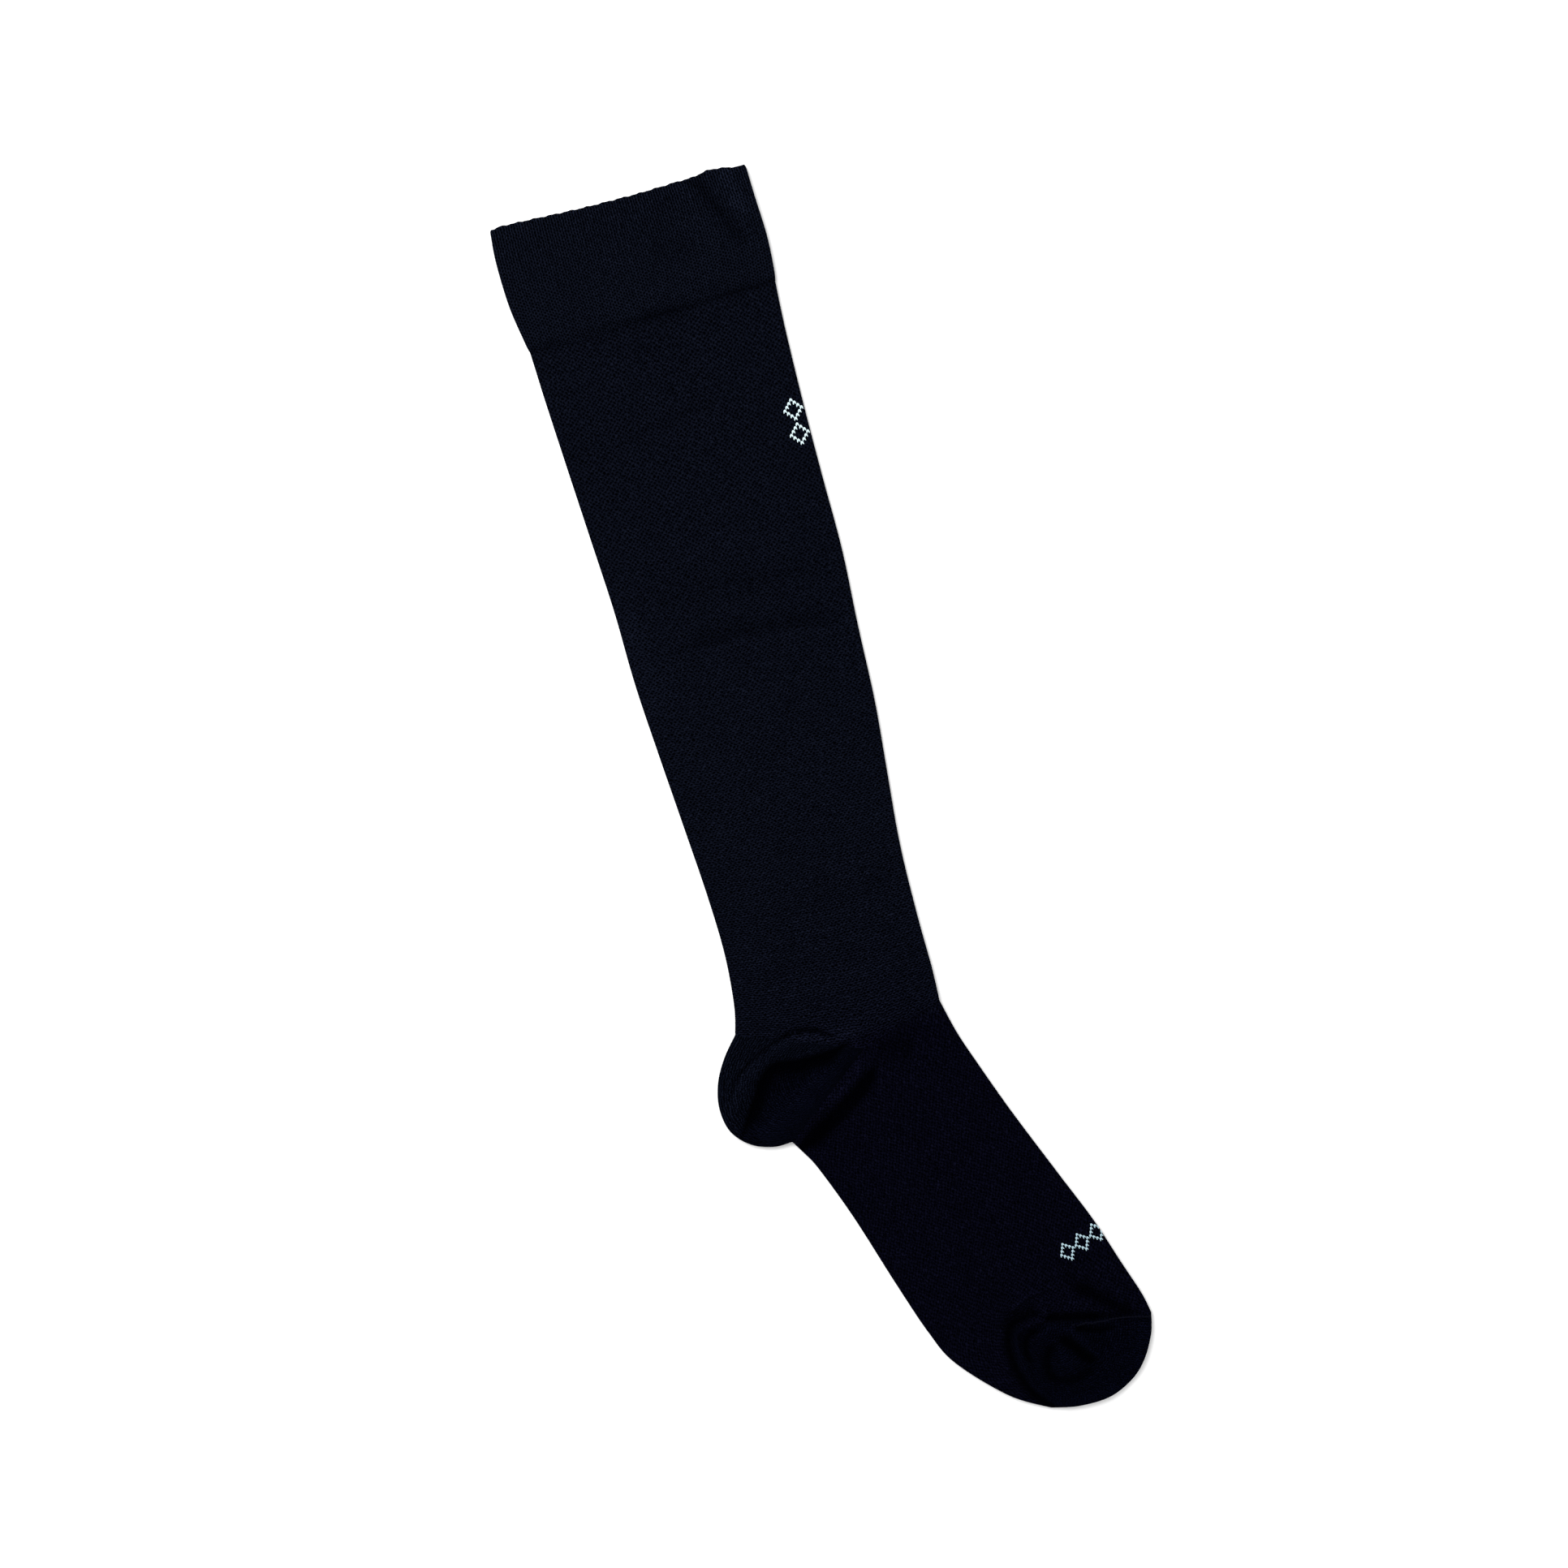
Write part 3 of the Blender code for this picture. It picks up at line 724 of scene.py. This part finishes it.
def short_courses(rings, most=6):
    """How many courses lie above each point if it is beside the gore, and how many times as
    many lie in each column: the further out, the fewer have turned back."""
    ways = np.linalg.norm(np.diff(rings[:, :, :2], axis=0), axis=2)
    fitting = ways.sum(axis=0) / POCKET_COURSE
    fewest = fitting.max() / most
    gone = np.concatenate([[0.0], np.cumsum(ways.mean(axis=1))])
    courses = np.outer(fewest * gone / gone[-1], np.ones(rings.shape[1]))
    return courses, np.clip(np.round(fitting / fewest), 1, most)


def plain_loops(at_fold, inside):
    """Plain knit, whose stitches are small Vs. The values are the share of the wales' lines
    against the courses', up to the third wale from the fold and from the fourteenth on."""

    def loops(tree, wale, course):
        depth = sums(tree, "ABSOLUTE", wale)
        ranges = {"From Min": 3.0, "From Max": 14.0, "To Min": at_fold, "To Max": inside}
        share = link(tree, "ShaderNodeMapRange", {"Value": depth, **ranges})
        slant = sums(tree, "SUBTRACT", course, sums(tree, "PINGPONG", wale, 0.5))
        along = sums(tree, "COSINE", sums(tree, "MULTIPLY", slant, 2 * math.pi))
        across = sums(tree, "COSINE", sums(tree, "MULTIPLY", wale, 2 * math.pi))
        more = sums(tree, "MULTIPLY", sums(tree, "SUBTRACT", across, along), share)
        return sums(tree, "ADD", along, more)

    return loops


heel_outer, heel_depths, heel_shade = pocket(
    HEEL_EDGE, HEEL_STEP, HEEL_GORE, HEEL_CROWN, HEEL_PUFF, HEEL_COLUMNS
)
heel_inner, _, _ = pocket(
    HEEL_EDGE, HEEL_STEP, HEEL_GORE, HEEL_CROWN, HEEL_PUFF, HEEL_COLUMNS, WALL
)
heel_courses, heel_times = short_courses(heel_outer)
heel_knit = knit("heel plain knit", plain_loops(0.72, 0.55), HEEL_YARN, HEEL_DEEP_YARN, 2.1)
heel = knit_piece(
    "heel_cup",
    heel_outer,
    heel_inner,
    heel_depths / POCKET_WALE,
    heel_courses,
    heel_shade,
    fade=2.5,
    times=heel_times,
)
dress(heel, heel_knit, "heel_pocket")


# ---- The foot ---------------------------------------------------------------------------
# The tube from the heel and the bend of the instep to the toe, in the leg's tuck knit with
# a darker yarn. The heel pocket slants its first courses and the toe pocket its last.

FOOT_COURSES = (
    (-54.6, -130.6, -14.6, -99.8, 21.4, -88.6, 3.6, 4.2, 0),
    (-51.0, -136.4, -10.6, -111.5, 25.0, -103.6, 3.2, 3.9, 0),
    (-46.6, -144.7, -5.0, -127.5, 30.0, -118.3, 3.0, 3.6, 0),
    (-37.6, -168.5, 4.5, -153.9, 38.7, -142.0, 2.9, 3.4, 0),
    (-27.8, -199.7, 13.0, -185.0, 51.0, -172.4, 2.9, 3.4, 0),
    (-19.8, -223.3, 16.5, -208.0, 60.4, -195.5, 3.0, 3.5, 0),
    (-12.1, -239.1, 15.2, -219.0, 67.0, -215.5, 3.2, 3.8, 1.0),
    (6.2, -258.2, 14.8, -225.5, 72.0, -230.5, 3.4, 4.0, 3.8),
    (22.4, -268.0, 14.5, -230.5, 74.0, -239.8, 3.6, 4.4, 5.5),
)
FOOT_STEPS = (0.8, 1.8)
FOOT_COLUMNS = ((60, 14), (60, 14))
FOOT_COURSE = 1.05
# How far down the foot the courses lie just as the rings do, between the two slants.
FOOT_STRAIGHT = 0.55
foot_outer, foot_wales, foot_shade = tube(
    FOOT_COURSES, FOOT_STEPS[0], FOOT_COLUMNS, BELOW_FOLDS, WALL
)
foot_inner, _, _ = tube(FOOT_COURSES, FOOT_STEPS[1], FOOT_COLUMNS, BELOW_FOLDS, WALL, WALL)
foot_knit = knit(
    "foot tuck knit", tuck_loops(0.15), LEG_YARN, FOOT_YARN, 2.2, patchy=0.3, wander=0.65
)
foot = knit_piece(
    "foot_tube",
    foot_outer,
    foot_inner,
    foot_wales,
    course_count(foot_outer, FOOT_COURSE, FOOT_STRAIGHT),
    foot_shade,
)
dress(foot, foot_knit, "foot")


# ---- The toe cap ------------------------------------------------------------------------
# A second pocket of short courses, linked to the instep by one flat seam. Its slack lies
# in a roll along its hidden side, with a dent in the middle.

TOE_GORE = (14.5, -230.5)
TOE_EDGE = (
    (22.4, -268.0, 3.6, 5.5),
    (34.3, -270.4, 3.7, 4.0),
    (47.8, -270.0, 3.8, 2.5),
    (58.8, -265.2, 3.8, 1.5),
    (66.0, -258.4, 3.8, 0.8),
    (71.6, -248.6, 3.7, 0.2),
    (74.0, -239.8, 3.6, 0),
)
TOE_CROWN = 4.4
TOE_PUFF = 1.3
TOE_STEP = 0.6
TOE_COLUMNS = (104, 16)
TOE_YARN = (0.0021, 0.0026, 0.0083)
toe_outer, toe_depths, toe_shade = pocket(
    TOE_EDGE, TOE_STEP, TOE_GORE, TOE_CROWN, TOE_PUFF, TOE_COLUMNS
)
toe_inner, _, _ = pocket(
    TOE_EDGE, TOE_STEP, TOE_GORE, TOE_CROWN, TOE_PUFF, TOE_COLUMNS, WALL
)
toe_courses, toe_times = short_courses(toe_outer)
toe_knit = knit("toe plain knit", plain_loops(0.15, 0.55), TOE_YARN, TOE_YARN, 2.0)
toe = knit_piece(
    "toe_cup",
    toe_outer,
    toe_inner,
    toe_depths / POCKET_WALE,
    toe_courses,
    toe_shade,
    times=toe_times,
)
dress(toe, toe_knit, "toe_cap")


# ---- The toe's linking seam -------------------------------------------------------------
# A row of small stitches that joins the toe to the instep loop by loop. They are the same
# yarn, laid across the join on a narrow ridge.

SEAM_PATH = (
    (75.0, -241.2), (72.6, -240.9), (65.8, -239.5), (60.7, -238.6), (56.4, -238.0),
    (53.7, -238.1), (51.1, -237.6), (48.5, -237.6), (46.1, -236.7), (42.4, -236.9),
    (40.5, -236.2),
)
SEAM_PITCH = 1.35
# A linking stitch is this wide, long and thick, and lies slanted across the seam.
LINK_SIZE = (0.9, 1.7, 0.7)
LINK_TURN = math.radians(70)
STITCH_LIFT_M = 0.0001

# One strand of a stitch, 1 mm long and fat: it tapers to the end where it dives under.
bpy.ops.mesh.primitive_uv_sphere_add(
    segments=8, ring_count=6, radius=0.0005, rotation=(math.pi / 2, 0.0, 0.0)
)
strand = bpy.context.object
bpy.ops.object.transform_apply()
bpy.ops.object.mode_set(mode="EDIT")
bpy.ops.mesh.select_all(action="DESELECT")
bpy.ops.object.mode_set(mode="OBJECT")
for vert in strand.data.vertices:
    vert.select = vert.co.y < -0.0001
bpy.ops.object.mode_set(mode="EDIT")
bpy.ops.transform.resize(value=(0.72, 1.0, 0.72), center_override=(0.0, 0.0, 0.0))
bpy.ops.object.mode_set(mode="OBJECT")
strand.select_set(False)


def stitch_on(bodies, place, turn, size, name):
    """A copy of the strand, turned and laid on the topmost of the bodies at a place, or
    nothing where none of them lies there."""
    x, y = (np.array(place) - CENTRE) * MM
    hits = [body.ray_cast(Vector((x, y, 0.05)), Vector((0, 0, -1))) for body in bodies]
    hits = [hit for hit in hits if hit[0]]
    if not hits:
        return None
    _, spot, normal, _ = max(hits, key=lambda hit: hit[1].z)
    loop = strand.copy()
    loop.data = strand.data.copy()
    loop.name = name
    bpy.context.collection.objects.link(loop)
    up = Vector((0, 0, 1))
    loop.rotation_mode = "QUATERNION"
    loop.rotation_quaternion = up.rotation_difference(normal) @ Quaternion(up, turn)
    loop.scale = size
    loop.location = spot + normal * STITCH_LIFT_M
    return loop


def joined(loops, name, material):
    """Makes one piece of many loops."""
    bpy.context.view_layer.update()
    for loop in loops:
        loop.select_set(True)
    bpy.context.view_layer.objects.active = loops[0]
    bpy.ops.object.join()
    piece = bpy.context.object
    bpy.ops.object.transform_apply()
    piece.name = piece.data.name = name
    bpy.ops.object.shade_smooth()
    piece.data.materials.append(material)
    piece.select_set(False)
    return piece


def yarn(name, dark, light):
    """Plain yarn with its plies and a little unevenness of dye."""
    material = bpy.data.materials.new(name)
    material.use_nodes = True
    tree = material.node_tree
    shader = tree.nodes["Principled BSDF"]
    shader.inputs["Specular IOR Level"].default_value = 0.02
    place = link(tree, "ShaderNodeTexCoord", output=3)
    plies = link(
        tree,
        "ShaderNodeTexNoise",
        {"Vector": place, "Scale": 2200.0, "Detail": 2.0, "Distortion": 0.6},
    )
    colour = link(
        tree,
        "ShaderNodeMix",
        {"Factor": plies, 6: (*dark, 1.0), 7: (*light, 1.0)},
        output=2,
        data_type="RGBA",
    )
    tree.links.new(colour, shader.inputs["Base Color"])
    rough = sums(tree, "MULTIPLY_ADD", plies, 0.1, 0.82)
    tree.links.new(rough, shader.inputs["Roughness"])
    bump = link(tree, "ShaderNodeBump", {"Height": plies, "Distance": 0.0001})
    tree.links.new(bump, shader.inputs["Normal"])
    return material


seam_yarn = yarn("linking yarn", (0.0005, 0.0006, 0.0016), (0.0029, 0.0031, 0.0078))
seam_loops = []
for row in spline(SEAM_PATH, SEAM_PITCH):
    loop = stitch_on((foot, toe), row, LINK_TURN, LINK_SIZE, "link")
    if loop:
        seam_loops.append(loop)
seam = joined(seam_loops, "toe_seam", seam_yarn)
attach(seam, "root")


# ---- The knitted marks ------------------------------------------------------------------
# Pale yarn is laid in on single stitches: two hollow lozenges under the welt by the shin,
# and a row of three across the instep.

LOZENGE = (
    "...o...",
    "..o.o..",
    ".o...o.",
    "o.....o",
    ".o...o.",
    "..o.o..",
    "...o...",
)
# Each arm of a stitch's V: how far it lies from the middle, how far it is turned, and its
# width, length and thickness. All but the turn and thickness are in stitches.
ARM_APART = 0.27
ARM_TURN = 0.38
ARM_WIDTH = 0.64
ARM_LENGTH = 1.3
ARM_THICK = 0.6
LEG_MARKS = ((26.3, 169.6), (26.3, 159.0))
LEG_STITCH = (1.2, 1.35)
# The middle of the first mark on the foot, how far apart they are, and which way across.
FOOT_MARK = (46.2, -205.6)
FOOT_MARK_PITCH = 7.4
FOOT_ACROSS = (0.945, 0.326)
FOOT_STITCH = (0.98, 1.2)


def laid_in(chart, middle, down, pitch, body, name):
    """Stitches by a chart, whose rows follow the courses and run down the leg or foot.
    Each one is a small V of two narrow strands."""
    down = np.array(down) / np.linalg.norm(down)
    across = np.array((-down[1], down[0]))
    turn = math.atan2(down[1], down[0]) + math.pi / 2
    made = []
    for row, line in enumerate(chart):
        for column, mark in enumerate(line):
            if mark != "o":
                continue
            place = np.array(middle) + across * pitch[0] * (column - (len(line) - 1) / 2)
            place = place + down * pitch[1] * (row - (len(chart) - 1) / 2)
            for side in (-1, 1):
                arm = stitch_on(
                    (body,),
                    place + side * ARM_APART * pitch[0] * across,
                    turn + side * ARM_TURN,
                    (ARM_WIDTH * pitch[0], ARM_LENGTH * pitch[1], ARM_THICK),
                    name,
                )
                if arm:
                    made.append(arm)
    return made


pale_yarn = yarn("pale laid-in yarn", (0.36, 0.47, 0.5), (0.68, 0.8, 0.82))
marks = []
for middle in LEG_MARKS:
    marks += laid_in(LOZENGE, middle, (0.0, -1.0), LEG_STITCH, leg, "leg mark")
leg_mark = joined(marks, "leg_mark", pale_yarn)
soft_yarn = yarn("softer laid-in yarn", (0.22, 0.33, 0.38), (0.44, 0.58, 0.64))
marks = []
for step in range(3):
    middle = np.array(FOOT_MARK) + step * FOOT_MARK_PITCH * np.array(FOOT_ACROSS)
    down = (FOOT_ACROSS[1], -FOOT_ACROSS[0])
    marks += laid_in(LOZENGE, middle, down, FOOT_STITCH, foot, "foot mark")
foot_mark = joined(marks, "foot_mark", soft_yarn)
bpy.data.objects.remove(strand)
for mark, slot in ((leg_mark, "leg_knit"), (foot_mark, "foot_knit")):
    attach(mark, "root")


# ---- The surface, the light and the camera ----------------------------------------------
# A pale table, one broad lamp from the mouth's left and an even sky. The camera looks
# straight down, turned so that the leg leans a little to the left.

bpy.ops.mesh.primitive_plane_add(size=40.0, location=(0.0, 0.0, -0.0002))
table = bpy.context.object
table.name = "table"
table_paint = bpy.data.materials.new("pale table")
table_paint.use_nodes = True
table_shader = table_paint.node_tree.nodes["Principled BSDF"]
table_shader.inputs["Base Color"].default_value = (0.9, 0.9, 0.9, 1.0)
table_shader.inputs["Roughness"].default_value = 0.9
table_shader.inputs["Specular IOR Level"].default_value = 0.1
table.data.materials.append(table_paint)

sky = bpy.data.worlds.new("even sky")
sky.use_nodes = True
sky.node_tree.nodes["Background"].inputs["Color"].default_value = (1.0, 1.0, 1.0, 1.0)
sky.node_tree.nodes["Background"].inputs["Strength"].default_value = 1.0
bpy.context.scene.world = sky

bpy.ops.object.light_add(type="AREA", location=(-0.5, 0.8, 1.35))
lamp = bpy.context.object
lamp.name = "broad lamp"
lamp.data.shape = "DISK"
lamp.data.size = 1.1
lamp.data.energy = 25.0
lamp.rotation_euler = (-lamp.location).to_track_quat("-Z", "Y").to_euler()

VIEW_WIDTH_M = 0.6665
bpy.ops.object.camera_add(rotation=(0.0, 0.0, math.radians(-15.0)))
camera = bpy.context.object
camera.data.lens = 85.0
camera.data.sensor_width = 36.0
height = VIEW_WIDTH_M * camera.data.lens / camera.data.sensor_width
camera.location = (-0.0152, 0.01397, height)
camera.data.clip_end = 20.0
bpy.context.scene.camera = camera
bpy.context.scene.view_settings.view_transform = "Standard"
bpy.context.scene.view_settings.look = "None"
